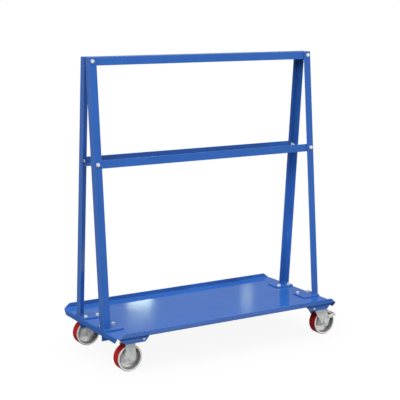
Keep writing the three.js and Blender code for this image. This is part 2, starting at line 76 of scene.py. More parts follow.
Socket = bpy.types.NodeSocket
Material = bpy.types.Material
Mesh = bpy.types.Mesh
Piece = bpy.types.Object
Colour = tuple[float, float, float]
Point = tuple[float, float, float]
Range = tuple[float, float]
Profile = list[tuple[float, float]]
Pair = tuple[Vector, Vector]


class Direction(Enum):
    """A level direction, with the sign of its coordinate."""

    @property
    def word(self) -> str:
        """The direction's word in node names."""
        return self.name.lower()

    def outer(self, low: float, high: float) -> float:
        """The one of two coordinates that lies further this way."""
        return low if self.value < 0 else high


class Side(Direction):
    """Long side of the cart, with the sign of its Y."""

    FRONT = -1
    BACK = 1


class End(Direction):
    """Short end of the cart, with the sign of its X."""

    LEFT = -1
    RIGHT = 1


class CasterKind(Enum):
    """How a caster is held under the deck."""

    RIGID = "rigid"
    SWIVEL = "swivel"


@dataclass(frozen=True)
class Corner:
    """One corner of the cart."""

    side: Side
    end: End

    @property
    def word(self) -> str:
        """The corner's words in node names."""
        return f"{self.side.word}_{self.end.word}"

    @property
    def out(self) -> Vector:
        """The level direction out of the corner's long side."""
        return Vector((0.0, float(self.side.value), 0.0))


CORNERS = [Corner(side, end) for side in Side for end in End]
FITTING_ANGLES = {
    Corner(Side.FRONT, End.LEFT): 180.0,
    Corner(Side.BACK, End.LEFT): 35.0,
    Corner(Side.FRONT, End.RIGHT): 250.0,
    Corner(Side.BACK, End.RIGHT): 120.0,
}


class Graph:
    """Adds nodes to a node tree and joins them."""

    def __init__(self, tree: bpy.types.NodeTree) -> None:
        """Starts on an existing tree."""
        self.tree = tree

    def give(self, target: Socket, value: Any) -> None:
        """Joins an output to an input, or sets the input's plain value.

        Args:
            target: the input.
            value: a socket to join, or the plain value.
        """
        if isinstance(value, Socket):
            self.tree.links.new(value, target)
        else:
            target.default_value = value

    def add(self, kind: str, inputs: dict[str | int, Any] | None = None, **settings: Any) -> bpy.types.Node:
        """Adds one node and feeds it.

        Args:
            kind: Blender's type name of the node.
            inputs: a value, or a socket to join, for each input by name or number.
            settings: the node's own properties.

        Returns:
            The new node.
        """
        node = self.tree.nodes.new(kind)
        for name, value in settings.items():
            setattr(node, name, value)
        for key, value in (inputs or {}).items():
            self.give(node.inputs[key], value)
        return node

    def math(self, operation: str, *values: Any) -> Socket:
        """Adds a Math node with numbers or sockets for its inputs in order."""
        return self.add("ShaderNodeMath", dict(enumerate(values)), operation=operation).outputs[0]

    def times(self, first: Any, second: Any) -> Socket:
        """The product of two values."""
        return self.math("MULTIPLY", first, second)

    def plus(self, first: Any, second: Any) -> Socket:
        """The sum of two values."""
        return self.math("ADD", first, second)

    def minus(self, first: Any, second: Any) -> Socket:
        """The difference of two values."""
        return self.math("SUBTRACT", first, second)

    def length(self, vector: Socket) -> Socket:
        """The length of a vector."""
        return self.add("ShaderNodeVectorMath", {0: vector}, operation="LENGTH").outputs["Value"]

    def ranged(self, value: Socket, span: Range, result: tuple[Any, Any], **settings: Any) -> Socket:
        """Maps one range of a value on another.

        Args:
            value: the value.
            span: the range's first and last number.
            result: what they become, each a number or a socket.
            settings: the node's own properties.

        Returns:
            The mapped value.
        """
        words = ("From Min", "From Max", "To Min", "To Max")
        inputs = {"Value": value, **dict(zip(words, (*span, *result)))}
        return self.add("ShaderNodeMapRange", inputs, **settings).outputs["Result"]

    def light(self, kind: str, colour: Colour, strength: Any) -> Socket:
        """Adds a shader that shines, by its type name."""
        return self.add(kind, {"Color": (*colour, 1.0), "Strength": strength}).outputs[0]

    def matt(self, white: float) -> Socket:
        """Adds a matt grey shader."""
        return self.add("ShaderNodeBsdfDiffuse", {"Color": (white, white, white, 1.0)}).outputs[0]

    def mix(self, factor: Socket, first: Socket, second: Socket) -> Socket:
        """Mixes two shaders."""
        return self.add("ShaderNodeMixShader", {0: factor, 1: first, 2: second}).outputs[0]


class SurfaceGraph(Graph):
    """Node tree of one material around a Principled shader."""

    def __init__(self, slot: str) -> None:
        """Makes the material of a slot, with its shader and its Object coordinates.

        Args:
            slot: the record's slot.
        """
        self.material = bpy.data.materials.new(f"{slot}_finish")
        self.material[SLOT_KEY] = slot
        self.material.use_nodes = True
        super().__init__(self.material.node_tree)
        self.tree.nodes.clear()
        self.shader = self.add("ShaderNodeBsdfPrincipled")
        self.add("ShaderNodeOutputMaterial", {"Surface": self.shader.outputs["BSDF"]})
        self.place = self.add("ShaderNodeTexCoord").outputs["Object"]

    def noise(self, scale: float, detail: float = 3.0, place: Socket | None = None) -> Socket:
        """Adds a noise.

        Args:
            scale: features to the metre.
            detail: octaves of finer noise.
            place: coordinates other than the Object ones.

        Returns:
            The noise's value.
        """
        vector = self.place if place is None else place
        inputs = {"Vector": vector, "Scale": scale, "Detail": detail}
        return self.add("ShaderNodeTexNoise", inputs).outputs["Fac"]

    def spread(self, value: Socket, result: Range) -> Socket:
        """Spreads the middle of a noise over a range of its own."""
        return self.ranged(value, NOISE_MIDDLE, result)

    def ramp(self, value: Socket, low: Colour, high: Colour) -> Socket:
        """Blends two colours by the middle of a noise.

        Args:
            value: the noise.
            low: the colour at the middle's low end.
            high: the colour at its high end.

        Returns:
            The blended colour.
        """
        node = self.add("ShaderNodeValToRGB", {"Fac": value})
        for element, place, colour in zip(node.color_ramp.elements, NOISE_MIDDLE, (low, high)):
            element.position = place
            element.color = (*colour, 1.0)
        return node.outputs["Color"]

    def blend(self, factor: Socket, first: Socket, second: Colour) -> Socket:
        """Mixes a colour socket with a plain colour."""
        inputs = {0: factor, 6: first, 7: (*second, 1.0)}
        return self.add("ShaderNodeMix", inputs, data_type="RGBA").outputs[2]

    def marked(self, attribute: str) -> Socket:
        """Reads where a piece carries an attribute."""
        return self.add("ShaderNodeAttribute", attribute_name=attribute).outputs["Fac"]

    def bump(self, height: Socket, strength: float, depth: float) -> None:
        """Gives the surface a relief, by its value, the share of it that shades and its depth in metres."""
        inputs = {"Height": height, "Strength": strength, "Distance": depth}
        self.feed(Normal=self.add("ShaderNodeBump", inputs).outputs["Normal"])

    def feed(self, **inputs: Any) -> None:
        """Sets or joins the shader's inputs, with an underscore for a space."""
        for name, value in inputs.items():
            self.give(self.shader.inputs[name.replace("_", " ")], value)


@dataclass(frozen=True)
class PowderCoat:
    """Glossy blue powder coat: faint clouds of colour, orange peel, and a thinner coat on edges."""

    slot: str = "blue_powder_coat"
    colour: Colour = (0.016, 0.077, 0.290)
    cloud: Colour = (0.019, 0.085, 0.313)
    cloud_scale: float = 5.0
    thin: Colour = (0.045, 0.140, 0.420)
    thin_share: float = 0.5
    thin_roughness: float = 0.3
    gloss: Range = (0.10, 0.13)
    gloss_scale: float = 35.0
    peel_scale: float = 480.0
    peel_detail: float = 1.0
    peel_strength: float = 0.25
    peel_depth: float = 0.02 * MM

    def material(self) -> Material:
        """Builds the material.

        Returns:
            The material, which knows its slot.
        """
        surface = SurfaceGraph(self.slot)
        body = surface.ramp(surface.noise(self.cloud_scale), self.colour, self.cloud)
        edge = surface.times(surface.marked(EDGE_ATTRIBUTE), self.thin_share)
        rough = surface.spread(surface.noise(self.gloss_scale), self.gloss)
        surface.feed(
            Base_Color=surface.blend(edge, body, self.thin),
            Roughness=surface.plus(rough, surface.times(edge, self.thin_roughness)),
        )
        surface.bump(surface.noise(self.peel_scale, self.peel_detail), self.peel_strength, self.peel_depth)
        return surface.material


@dataclass(frozen=True)
class ZincPlate:
    """Bright zinc on steel: small spangle, fine grain, and edges lighter, partly worn bright and partly a
    painted highlight.
    """

    slot: str = "zinc_plate"
    dull: Colour = (0.42, 0.44, 0.43)
    bright: Colour = (0.51, 0.53, 0.52)
    # Edge colour: partly worn zinc, partly a painted highlight
    rubbed_and_glint: Colour = (0.84, 0.87, 0.90)
    spangle_scale: float = 240.0
    metal: float = 0.2
    roughness: Range = (0.36, 0.46)
    grain_scale: float = 1500.0
    grain_detail: float = 2.0
    grain_strength: float = 0.2
    grain_depth: float = 0.02 * MM

    def material(self) -> Material:
        """Builds the material.

        Returns:
            The material, which knows its slot.
        """
        surface = SurfaceGraph(self.slot)
        inputs = {"Vector": surface.place, "Scale": self.spangle_scale}
        spangle = surface.add("ShaderNodeTexVoronoi", inputs).outputs["Color"]
        tone = surface.add("ShaderNodeSeparateColor", {"Color": spangle}).outputs["Red"]
        body = surface.ramp(tone, self.dull, self.bright)
        surface.feed(
            # Edges painted lighter, partly wear and partly a painted highlight
            Base_Color=surface.blend(surface.marked(EDGE_ATTRIBUTE), body, self.rubbed_and_glint),
            Metallic=self.metal,
            Roughness=surface.spread(tone, self.roughness),
        )
        grain = surface.noise(self.grain_scale, self.grain_detail)
        surface.bump(grain, self.grain_strength, self.grain_depth)
        return surface.material


@dataclass(frozen=True)
class CastGrey:
    """Grey cast wheel core: sand-cast grain under thin silver-grey paint, with painted shade on the rim's
    inner side and outer crest.
    """

    slot: str = "grey_core"
    low: Colour = (0.60, 0.595, 0.585)
    high: Colour = (0.68, 0.675, 0.665)
    # Colour of the painted shade where the rim's inner side lies in shadow
    painted_rim_shade: Colour = (0.20, 0.195, 0.195)
    mottle_scale: float = 60.0
    metal: float = 0.15
    roughness: Range = (0.42, 0.58)
    grain_scale: float = 900.0
    grain_detail: float = 4.0
    grain_strength: float = 0.35
    grain_depth: float = 0.12 * MM

    def material(self) -> Material:
        """Builds the material.

        Returns:
            The material, which knows its slot.
        """
        surface = SurfaceGraph(self.slot)
        grain = surface.noise(self.grain_scale, self.grain_detail)
        body = surface.ramp(surface.noise(self.mottle_scale), self.low, self.high)
        surface.feed(
            # Painted shade where the core carries the shade attribute
            Base_Color=surface.blend(surface.marked(PAINTED_SHADE_ATTRIBUTE), body, self.painted_rim_shade),
            Metallic=self.metal,
            Roughness=surface.spread(grain, self.roughness),
        )
        surface.bump(grain, self.grain_strength, self.grain_depth)
        return surface.material


@dataclass(frozen=True)
class RedUrethane:
    """Cast red polyurethane: slight mottle and fine turned rings round the wheel."""

    slot: str = "red_urethane"
    deep: Colour = (0.285, 0.004, 0.007)
    bright: Colour = (0.355, 0.006, 0.009)
    mottle_scale: float = 45.0
    roughness: Range = (0.42, 0.54)
    shine: float = 0.2
    ring_axis: Point = (0.0, 1.0, 0.0)
    rings_to_metre: float = 900.0
    ring_detail: float = 2.0
    ring_strength: float = 0.3
    ring_depth: float = 0.1 * MM

    def material(self) -> Material:
        """Builds the material.

        Returns:
            The material, which knows its slot.
        """
        surface = SurfaceGraph(self.slot)
        inputs = {"Vector": surface.place, "Scale": self.ring_axis}
        across = surface.add("ShaderNodeMapping", inputs).outputs["Vector"]
        rings = surface.noise(self.rings_to_metre, self.ring_detail, across)
        surface.feed(
            Base_Color=surface.ramp(surface.noise(self.mottle_scale), self.deep, self.bright),
            Roughness=surface.spread(rings, self.roughness),
            Specular_IOR_Level=self.shine,
        )
        surface.bump(rings, self.ring_strength, self.ring_depth)
        return surface.material


@dataclass(frozen=True)
class DarkSteel:
    """Oiled dark steel of bearings."""

    slot: str = "dark_steel"
    low: Colour = (0.045, 0.047, 0.050)
    high: Colour = (0.085, 0.088, 0.092)
    grain_scale: float = 700.0
    metal: float = 0.8
    roughness: Range = (0.34, 0.5)

    def material(self) -> Material:
        """Builds the material.

        Returns:
            The material, which knows its slot.
        """
        surface = SurfaceGraph(self.slot)
        grain = surface.noise(self.grain_scale)
        surface.feed(
            Base_Color=surface.ramp(grain, self.low, self.high),
            Metallic=self.metal,
            Roughness=surface.spread(grain, self.roughness),
        )
        return surface.material


@dataclass
class Finishes:
    """The cart's materials."""

    coat: Material = field(default_factory=PowderCoat().material)
    zinc: Material = field(default_factory=ZincPlate().material)
    core: Material = field(default_factory=CastGrey().material)
    tread: Material = field(default_factory=RedUrethane().material)
    dark: Material = field(default_factory=DarkSteel().material)


def link_piece(name: str, mesh: Mesh) -> Piece:
    """Puts a mesh in the scene as an object at the origin.

    Args:
        name: the object's name.
        mesh: its mesh.

    Returns:
        The new object.
    """
    piece = bpy.data.objects.new(name, mesh)
    bpy.context.scene.collection.objects.link(piece)
    return piece


def paint(piece: Piece, material: Material) -> None:
    """Gives a piece or a CAD node one finish."""
    piece.data.materials.clear()
    piece.data.materials.append(material)


def settle(piece: Piece, body: str, material: Material, replaced: tuple[str, ...] = ()) -> None:
    """Finishes a piece and ties it to the frame.

    Args:
        piece: the object, in place.
        body: the CAD body that it rides on.
        material: its finish.
        replaced: CAD nodes that it stands for.
    """
    paint(piece, material)
    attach(piece, body)
    if replaced:
        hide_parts(*replaced)
    log.info("%s rides on %s with %d faces", piece.name, body, len(piece.data.polygons))


def evaluated_mesh(piece: Piece) -> Mesh:
    """Turns an object with its modifiers into a plain mesh.

    Args:
        piece: the object, which is removed.

    Returns:
        The plain mesh.
    """
    depsgraph = bpy.context.evaluated_depsgraph_get()
    mesh = bpy.data.meshes.new_from_object(piece.evaluated_get(depsgraph), depsgraph=depsgraph)
    bpy.data.objects.remove(piece)
    return mesh


def kept_mesh(name: str, shape: bmesh.types.BMesh) -> Mesh:
    """Keeps an edited shape as a mesh.

    Args:
        name: the mesh's name.
        shape: the shape, which is freed.

    Returns:
        The new mesh.
    """
    mesh = bpy.data.meshes.new(name)
    shape.to_mesh(mesh)
    shape.free()
    return mesh


@dataclass(frozen=True)
class EdgeRounding:
    """Rounds the sharp edges of a copy of a CAD node."""

    width: float = 0.7 * MM
    segments: int = 2
    roundness: float = 0.5
    sharper_than: float = math.radians(50)
    flat_within: float = math.radians(0.3)
    merge_within: float = 0.005 * MM

    def copy_of(self, node: str) -> Piece:
        """Copies a node, merges its triangles into whole faces and rounds its edges.

        Args:
            node: the CAD node.

        Returns:
            The new piece.
        """
        name = f"{node}_rounded"
        shape = bmesh.new()
        shape.from_mesh(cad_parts[node].data)
        layer = shape.faces.layers.float.new(EDGE_ATTRIBUTE)
        bmesh.ops.remove_doubles(shape, verts=shape.verts, dist=self.merge_within)
        bmesh.ops.dissolve_limit(shape, angle_limit=self.flat_within, verts=shape.verts, edges=shape.edges)
        sharp = [e for e in shape.edges if e.is_manifold and e.calc_face_angle() > self.sharper_than]
        made = bmesh.ops.bevel(
            shape, geom=sharp, offset=self.width, offset_type="OFFSET", segments=self.segments,
            profile=self.roundness, affect="EDGES", clamp_overlap=False)
        for face in made["faces"]:
            face[layer] = 1.0
        for face in shape.faces:
            face.smooth = True
        mesh = kept_mesh(name, shape)
        mesh.set_sharp_from_angle(angle=self.sharper_than)
        piece = link_piece(name, mesh)
        piece.modifiers.new("flat_faces", "WEIGHTED_NORMAL").keep_sharp = True
        return link_piece(name, evaluated_mesh(piece))


def turned_mesh(name: str, profile: Profile, centre: Vector, segments: int) -> Mesh:
    """Turns a closed profile about an axis along Y.

    Args:
        name: the mesh's name.
        profile: (radius, station along Y) of each corner in order.
        centre: the axis's middle.
        segments: sides of the turned shape.

    Returns:
        A closed mesh with smooth curves and crisp corners.
    """
    shape = bmesh.new()
    rings: list[list[bmesh.types.BMVert]] = []
    for step in range(segments):
        angle = math.tau * step / segments
        turn = Vector((math.sin(angle), 0.0, math.cos(angle)))
        rings.append([
            shape.verts.new(centre + turn * radius + Vector((0.0, station, 0.0)))
            for radius, station in profile])
    for step, ring in enumerate(rings):
        following = rings[(step + 1) % segments]
        for index in range(len(profile)):
            after = (index + 1) % len(profile)
            shape.faces.new((ring[index], ring[after], following[after], following[index]))
    bmesh.ops.recalc_face_normals(shape, faces=shape.faces)
    mesh = kept_mesh(name, shape)
    mesh.shade_smooth()
    mesh.set_sharp_from_angle(angle=TURNED_CREASE)
    return mesh


def arc(centre: tuple[float, float], radius: float, start: float, end: float, steps: int) -> Profile:
    """Points along an arc of a profile.

    Args:
        centre: the arc's middle, (radius, station).
        radius: its radius.
        start: first angle in degrees from the radial direction.
        end: last angle in degrees.
        steps: number of chords.

    Returns:
        The arc's points in order.
    """
    angles = [math.radians(start + (end - start) * step / steps) for step in range(steps + 1)]
    return [(centre[0] + radius * math.cos(a), centre[1] + radius * math.sin(a)) for a in angles]


def mirrored(half: Profile) -> Profile:
    """Closes a profile's lower half with its mirror image in the middle plane."""
    return [*half, *((radius, -station) for radius, station in reversed(half))]


class PatternTree(Graph):
    """Geometry Nodes tree with named inputs that is baked into plain meshes."""

    def __init__(self, name: str, sizes: tuple[str, ...]) -> None:
        """Makes the tree and its inputs.

        Args:
            name: the tree's name.
            sizes: names of its inputs besides Geometry, Seed and Material.
        """
        tree = bpy.data.node_groups.new(name, "GeometryNodeTree")
        super().__init__(tree)
        kinds = {"Geometry": "NodeSocketGeometry", **dict.fromkeys(sizes, "NodeSocketFloat")}
        kinds |= {"Seed": "NodeSocketInt", "Material": "NodeSocketMaterial"}
        self.identifiers = {
            word: tree.interface.new_socket(name=word, in_out="INPUT", socket_type=kind).identifier
            for word, kind in kinds.items()}
        tree.interface.new_socket(name="Geometry", in_out="OUTPUT", socket_type="NodeSocketGeometry")
        self.given = self.add("NodeGroupInput").outputs

    def chance(self, low: float, high: float) -> Socket:
        """A random number for each point, fixed by the seed."""
        inputs = {2: low, 3: high, "Seed": self.given["Seed"]}
        return self.add("FunctionNodeRandomValue", inputs, data_type="FLOAT").outputs[1]

    def close(self, instances: Socket) -> None:
        """Ends the tree in Realize Instances and Set Material.

        Args:
            instances: what the tree has made.
        """
        real = self.add("GeometryNodeRealizeInstances", {"Geometry": instances}).outputs["Geometry"]
        inputs = {"Geometry": real, "Material": self.given["Material"]}
        dressed = self.add("GeometryNodeSetMaterial", inputs).outputs["Geometry"]
        self.add("NodeGroupOutput", {"Geometry": dressed})

    def bake(self, host: Piece, name: str, values: dict[str, Any]) -> Piece:
        """Runs the tree on a host object and keeps the result as a plain mesh.

        Args:
            host: points or paths, removed afterwards.
            name: the new piece's name.
            values: the tree's inputs by name.

        Returns:
            The new piece.
        """
        modifier = host.modifiers.new("pattern", "NODES")
        modifier.node_group = self.tree
        for word, value in values.items():
            modifier[self.identifiers[word]] = value
        mesh = evaluated_mesh(host)
        mesh.name = name
        return link_piece(name, mesh)


@dataclass(frozen=True)
class FastenerSizes:
    """Sizes of one hexagon head or nut."""

    corner_radius: float
    height: float
    washer_radius: float
    washer_thickness: float
    shank_radius: float
    shank_depth: float
    tail_length: float = 0.0
    thread_pitch: float = 1.5 * MM


class FastenerTree(PatternTree):
    """Hexagon heads or nuts with a washer, a shank and a threaded tail, on points that carry an aim."""

    SIDES = 24
    SECTOR = math.pi / 3
    CHAMFER = math.pi / 6
    CROWN_SHARE = 0.94
    SHANK_SHARE = 0.5
    TAIL_SHARES = (0.6, 0.9)
    THREAD_CREST = 0.98
    THREAD_DEPTH = 0.12
    # The rings of a unit cylinder are at -0.5, 0 and 0.5, and a quarter tells them apart
    BETWEEN_RINGS = 0.25

    def __init__(self) -> None:
        """Builds the tree."""
        super().__init__("hexagon_fastener", tuple(size.name for size in fields(FastenerSizes)))
        parts = [self.washer(), self.hexagon(), self.shank(), self.tail()]
        joined = self.add("GeometryNodeJoinGeometry")
        for part in parts:
            self.give(joined.inputs["Geometry"], part)
        self.close(self.placed(joined.outputs["Geometry"]))

    def level(self, share: float) -> Socket:
        """A level in the hexagon, by its share of the height."""
        return self.plus(self.given["washer_thickness"], self.times(self.given["height"], share))

    def cylinder(self, radius: Any, low: Any, high: Any, sides: int) -> Socket:
        """A cylinder along Z.

        Args:
            radius: its radius.
            low: level of its lower end.
            high: level of its upper end.
            sides: its number of sides.

        Returns:
            The cylinder's geometry.
        """
        inputs = {"Vertices": sides, "Radius": radius, "Depth": self.minus(high, low)}
        shape = self.add("GeometryNodeMeshCylinder", inputs).outputs["Mesh"]
        lift = self.add("ShaderNodeCombineXYZ", {"Z": self.times(self.plus(high, low), 0.5)}).outputs[0]
        return self.add("GeometryNodeTransform", {"Geometry": shape, "Translation": lift}).outputs[0]

    def position(self) -> tuple[Socket, Socket, Socket]:
        """The three coordinates of a shape's points."""
        place = self.add("GeometryNodeInputPosition").outputs[0]
        return tuple(self.add("ShaderNodeSeparateXYZ", {0: place}).outputs)

    def moved(self, shape: Socket, spot: tuple[Socket, Socket, Socket]) -> Socket:
        """Moves the points of a shape to new coordinates."""
        place = self.add("ShaderNodeCombineXYZ", dict(enumerate(spot))).outputs[0]
        return self.add("GeometryNodeSetPosition", {"Geometry": shape, "Position": place}).outputs[0]

    def washer(self) -> Socket:
        """The washer on the seat."""
        return self.cylinder(self.given["washer_radius"], 0.0, self.given["washer_thickness"], self.SIDES)

    def shank(self) -> Socket:
        """The shank below the seat, up into the hexagon."""
        low = self.times(self.given["shank_depth"], -1.0)
        return self.cylinder(self.given["shank_radius"], low, self.level(self.SHANK_SHARE), self.SIDES // 2)

    def hexagon(self) -> Socket:
        """The hexagon with a cone-shaped chamfer, from a cylinder of two side segments.

        Returns:
            Its geometry.
        """
        inputs = {"Vertices": self.SIDES, "Side Segments": 2, "Radius": 1.0, "Depth": 1.0}
        shape = self.add("GeometryNodeMeshCylinder", inputs).outputs["Mesh"]
        x, y, z = self.position()
        flat = self.times(self.given["corner_radius"], math.cos(self.SECTOR / 2))
        crown = self.times(flat, self.CROWN_SHARE)
        within = self.math("FLOORED_MODULO", self.math("ARCTAN2", y, x), self.SECTOR)
        reach = self.math("DIVIDE", flat, self.math("COSINE", self.minus(within, self.SECTOR / 2)))
        top = self.math("GREATER_THAN", z, self.BETWEEN_RINGS)
        above = self.math("GREATER_THAN", z, -self.BETWEEN_RINGS)
        radius = self.plus(reach, self.times(top, self.minus(crown, reach)))
        fall = self.times(self.minus(radius, crown), math.tan(self.CHAMFER))
        rise = self.times(above, self.minus(self.given["height"], fall))
        height = self.plus(rise, self.given["washer_thickness"])
        return self.moved(shape, (self.times(x, radius), self.times(y, radius), height))

    def tail(self) -> Socket:
        """The threaded tail above the hexagon, with ridges a pitch apart.

        Returns:
            Its geometry.
        """
        base, end = (self.level(share) for share in self.TAIL_SHARES)
        length = self.plus(self.minus(end, base), self.given["tail_length"])
        pitches = self.math("DIVIDE", length, self.given["thread_pitch"])
        rings = self.math("CEIL", self.times(pitches, 2.0))
        shape = self.add("GeometryNodeMeshCylinder", {
            "Vertices": self.SIDES // 2, "Side Segments": rings,
            "Radius": self.given["shank_radius"], "Depth": length}).outputs["Mesh"]
        x, y, z = self.position()
        level = self.plus(z, self.times(length, 0.5))
        half_pitches = self.math("ROUND", self.math("DIVIDE", self.times(level, rings), length))
        odd = self.math("FLOORED_MODULO", half_pitches, 2.0)
        scale = self.minus(self.THREAD_CREST, self.times(odd, self.THREAD_DEPTH))
        return self.moved(shape, (self.times(x, scale), self.times(y, scale), self.plus(level, base)))

    def placed(self, fastener: Socket) -> Socket:
        """Stands the fastener on each point along its aim, each turned by chance.

        Args:
            fastener: the fastener's geometry.

        Returns:
            The instances.
        """
        aim = self.add("GeometryNodeInputNamedAttribute", {"Name": AIM_ATTRIBUTE}, data_type="FLOAT_VECTOR")
        stand = self.add("FunctionNodeAlignRotationToVector", {"Vector": aim.outputs["Attribute"]}, axis="Z")
        inputs = {"Axis": UP, "Angle": self.chance(0.0, math.tau)}
        spin = self.add("FunctionNodeAxisAngleToRotation", inputs)
        inputs = {"Rotation": stand.outputs[0], "Rotate By": spin.outputs[0]}
        turned = self.add("FunctionNodeRotateRotation", inputs, rotation_space="LOCAL")
        return self.add("GeometryNodeInstanceOnPoints", {
            "Points": self.given["Geometry"], "Instance": fastener, "Rotation": turned.outputs[0]}).outputs[0]


class WeldTree(PatternTree):
    """Weld beads: overlapping drops along paths of edges."""

    DROP_SCALES = (0.85, 1.1)
    DROP_SUBDIVISIONS = 2

    def __init__(self) -> None:
        """Builds the tree."""
        super().__init__("weld_bead", ("bead_radius", "ripple_pitch"))
        path = self.add("GeometryNodeMeshToCurve", {"Mesh": self.given["Geometry"]}).outputs["Curve"]
        inputs = {"Curve": path, "Length": self.given["ripple_pitch"]}
        drops = self.add("GeometryNodeCurveToPoints", inputs, mode="LENGTH").outputs
        inputs = {"Radius": self.given["bead_radius"], "Subdivisions": self.DROP_SUBDIVISIONS}
        drop = self.add("GeometryNodeMeshIcoSphere", inputs)
        laid = self.add("GeometryNodeInstanceOnPoints", {
            "Points": drops["Points"], "Instance": drop.outputs["Mesh"],
            "Rotation": drops["Rotation"], "Scale": self.chance(*self.DROP_SCALES)})
        smooth = self.add("GeometryNodeSetShadeSmooth", {"Geometry": laid.outputs["Instances"]})
        self.close(smooth.outputs["Geometry"])


@dataclass(frozen=True)
class BoltSizes:
    """Head and nut of one kind of bolt, and the seed for how the heads are turned; the nuts have the next."""

    head: FastenerSizes
    nut: FastenerSizes
    seed: int


@dataclass
class Workshop:
    """The finishes and trees that every sub-assembly shares."""

    finishes: Finishes = field(default_factory=Finishes)
    fasteners: FastenerTree = field(default_factory=FastenerTree)
    welds: WeldTree = field(default_factory=WeldTree)
    rounding: EdgeRounding = field(default_factory=EdgeRounding)

    def round_off(self, node: str, body: str, material: Material) -> None:
        """Replaces a CAD node of a body by a copy with rounded edges and a finish."""
        settle(self.rounding.copy_of(node), body, material, (node,))

    def fasten(self, name: str, spots: list[Pair], sizes: FastenerSizes, seed: int) -> Piece:
        """Makes one fastener at each spot.

        Args:
            name: the piece's name.
            spots: seat and outward direction of each fastener.
            sizes: the fastener's sizes.
            seed: fixes how each is turned.

        Returns:
            One object with all of them.
        """
        mesh = bpy.data.meshes.new(name)
        mesh.from_pydata([seat for seat, _ in spots], [], [])
        aims = mesh.attributes.new(AIM_ATTRIBUTE, "FLOAT_VECTOR", "POINT")
        for item, (_, aim) in zip(aims.data, spots):
            item.vector = aim
        values = {**asdict(sizes), "Seed": seed, "Material": self.finishes.zinc}
        piece = self.fasteners.bake(link_piece(f"{name}_points", mesh), name, values)
        piece.data.shade_smooth()
        piece.data.set_sharp_from_angle(angle=FASTENER_CREASE)
        return piece

    def bolt(
        self, name: str, body: str, ends: tuple[list[Pair], list[Pair]], sizes: BoltSizes,
        replaced: tuple[str, ...] = ()
    ) -> None:
        """Makes bolts with heads and nuts as one piece.

        Args:
            name: the piece's name.
            body: the body that carries them.
            ends: seat and outward direction of each head, and of each nut.
            sizes: the bolts' sizes.
            replaced: CAD nodes that they stand for.
        """
        heads, nuts = ends
        shape = bmesh.new()
        for piece in (
            self.fasten(f"{name}_heads", heads, sizes.head, sizes.seed),
            self.fasten(f"{name}_nuts", nuts, sizes.nut, sizes.seed + 1),
        ):
            shape.from_mesh(piece.data)
            bpy.data.objects.remove(piece)
        settle(link_piece(name, kept_mesh(name, shape)), body, self.finishes.zinc, replaced)

    def weld(self, name: str, paths: list[Pair], radius: float, seed: int) -> None:
        """Lays a bead of the frame along each path.

        Args:
            name: the piece's name.
            paths: start and end of each bead.
            radius: the bead's radius.
            seed: fixes the ripples.
        """
        mesh = bpy.data.meshes.new(name)
        points = [point for path in paths for point in path]
        mesh.from_pydata(points, [(2 * i, 2 * i + 1) for i in range(len(paths))], [])
        coat = self.finishes.coat
        sizes = {"bead_radius": radius, "ripple_pitch": radius * RIPPLE_SHARE}
        values = {**sizes, "Seed": seed, "Material": coat}
        settle(self.welds.bake(link_piece(f"{name}_paths", mesh), name, values), FRAME_BODY, coat)


def deck_middle() -> float:
    """X of the deck's middle."""
    low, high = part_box("deck")
    return (low.x + high.x) / 2


@dataclass
class Deck:
    """Deck sheet, stringers and caster mounts, with their welds and mount bolts."""

    shop: Workshop
    mount_bolt_x: float = 484 * MM
    mount_bolt_height: float = 159.5 * MM
    mount_sheet: float = 5 * MM
    mount_bolt: BoltSizes = BoltSizes(
        head=FastenerSizes(
            corner_radius=4.6 * MM, height=3.5 * MM, washer_radius=5 * MM, washer_thickness=0.8 * MM,
            shank_radius=2.5 * MM, shank_depth=5 * MM),
        nut=FastenerSizes(
            corner_radius=4.6 * MM, height=4 * MM, washer_radius=5 * MM, washer_thickness=0.6 * MM,
            shank_radius=2.5 * MM, shank_depth=2 * MM, tail_length=0.6 * MM),
        seed=11)
    bead_radius: float = 2.2 * MM
    bead_inset: float = 15 * MM
    bead_seed: int = 21
    stitch_length: float = 40 * MM
    stitch_pitch: float = 230 * MM
    stitches: int = 5

    def build(self) -> None:
        """Makes and dresses every piece."""
        stringers = [f"stringer_{side.word}" for side in Side]
        mounts = [f"caster_mount_{corner.word}" for corner in CORNERS]
        for node in ("deck", *stringers, *mounts):
            self.shop.round_off(node, FRAME_BODY, self.shop.finishes.coat)
        self.mount_bolts()
        self.welds()

    def mount_bolts(self) -> None:
        """A bolt through the outer flange of each caster mount."""
        heads: list[Pair] = []
        nuts: list[Pair] = []
        for corner in CORNERS:
            low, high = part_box(f"caster_mount_{corner.word}")
            x = deck_middle() + corner.end.value * self.mount_bolt_x
            seat = Vector((x, corner.side.outer(low.y, high.y), self.mount_bolt_height))
            heads.append((seat, corner.out))
            nuts.append((seat - corner.out * self.mount_sheet, -corner.out))
        self.shop.bolt("mount_bolts", FRAME_BODY, (heads, nuts), self.mount_bolt)

    def welds(self) -> None:
        """Stitches along the stringers and beads at the ends of the mounts, under the deck."""
        paths: list[Pair] = []
        half = self.stitch_length / 2
        for side in Side:
            low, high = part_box(f"stringer_{side.word}")
            y = side.outer(low.y, high.y)
            middle = (low.x + high.x) / 2
            for step in range(self.stitches):
                x = middle + (step - (self.stitches - 1) / 2) * self.stitch_pitch
                paths.append((Vector((x - half, y, high.z)), Vector((x + half, y, high.z))))
        for corner in CORNERS:
            low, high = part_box(f"caster_mount_{corner.word}")
            start, end = low.y + self.bead_inset, high.y - self.bead_inset
            for x in (low.x, high.x):
                paths.append((Vector((x, start, high.z)), Vector((x, end, high.z))))
        self.shop.weld("deck_welds", paths, self.bead_radius, self.bead_seed)


